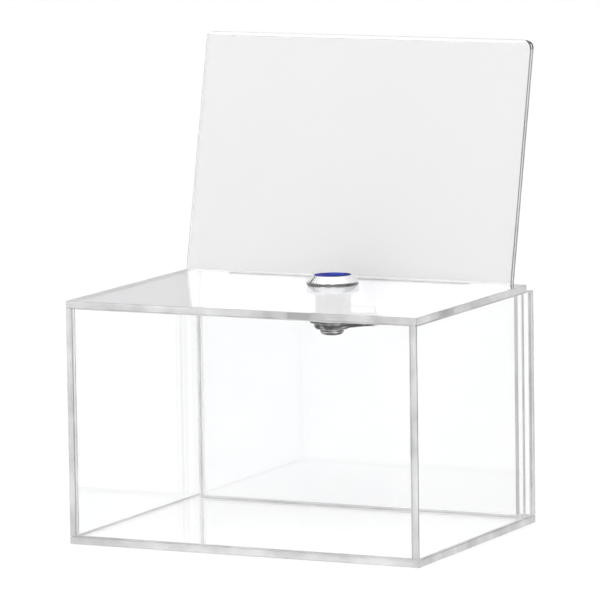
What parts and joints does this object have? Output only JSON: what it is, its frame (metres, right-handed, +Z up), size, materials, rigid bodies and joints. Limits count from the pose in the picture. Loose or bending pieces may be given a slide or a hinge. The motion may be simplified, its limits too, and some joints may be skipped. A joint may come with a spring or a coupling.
{
  "type": "donation box",
  "caption": "Clear acrylic tabletop collection box with a slotted lift-off lid, a leaning sign holder on its rear edge and a cam lock in the lid.",
  "frame": {"origin": "centre of the base plate's underside, which rests on the table", "axes": "+Z up, front of the box towards -Y, +X to the right seen from the front; the sign leans back towards +Y"},
  "size_m": [0.157, 0.1358, 0.1988],
  "materials": {
    "clear_acrylic": "clear cast acrylic, polished faces and edges",
    "grey_paper": "plain light grey card, matte",
    "chrome": "bright chrome plate",
    "zinc_plate": "bright zinc-plated steel",
    "blue_film": "thin glossy blue protective film",
    "lock_brass": "machined brass",
    "dark_steel": "dark plated steel",
    "spring_steel": "drawn spring wire"
  },
  "bodies": {
    "box": {"base_plate": "clear_acrylic", "left_wall": "clear_acrylic", "right_wall": "clear_acrylic", "front_wall": "clear_acrylic", "rear_wall": "clear_acrylic", "inner_rear_wall": "clear_acrylic"},
    "lid": {"lid_plate": "clear_acrylic", "sign_holder": "clear_acrylic", "lock_housing": "chrome", "lock_nut": "zinc_plate", "lock_nut_washer": "zinc_plate", "lock_face_film": "blue_film"},
    "insert": {"sign_insert": "grey_paper"},
    "lock": {"lock_plug": "lock_brass", "stop_washer": "dark_steel", "lock_cam": "dark_steel", "cam_tooth_washer": "dark_steel", "cam_screw": "dark_steel", "wafer_1": "lock_brass", "wafer_2": "lock_brass", "wafer_3": "lock_brass", "wafer_4": "lock_brass", "wafer_5": "lock_brass", "wafer_spring_1": "spring_steel", "wafer_spring_2": "spring_steel", "wafer_spring_3": "spring_steel", "wafer_spring_4": "spring_steel", "wafer_spring_5": "spring_steel"}
  },
  "joints": [
    {"name": "lid_lift", "type": "slide", "parent": "box", "child": "lid", "axis": [0, 0, 1], "range_m": [0, 0.1]},
    {"name": "insert_slide", "type": "slide", "parent": "lid", "child": "insert", "axis": [1, 0, 0], "range_m": [0, 0.15]},
    {"name": "plug_turn", "type": "hinge", "parent": "lid", "child": "lock", "pos_m": [0, 0.0301, 0.1002], "axis": [0, 0, 1], "range_deg": [-45, 45]}
  ]
}
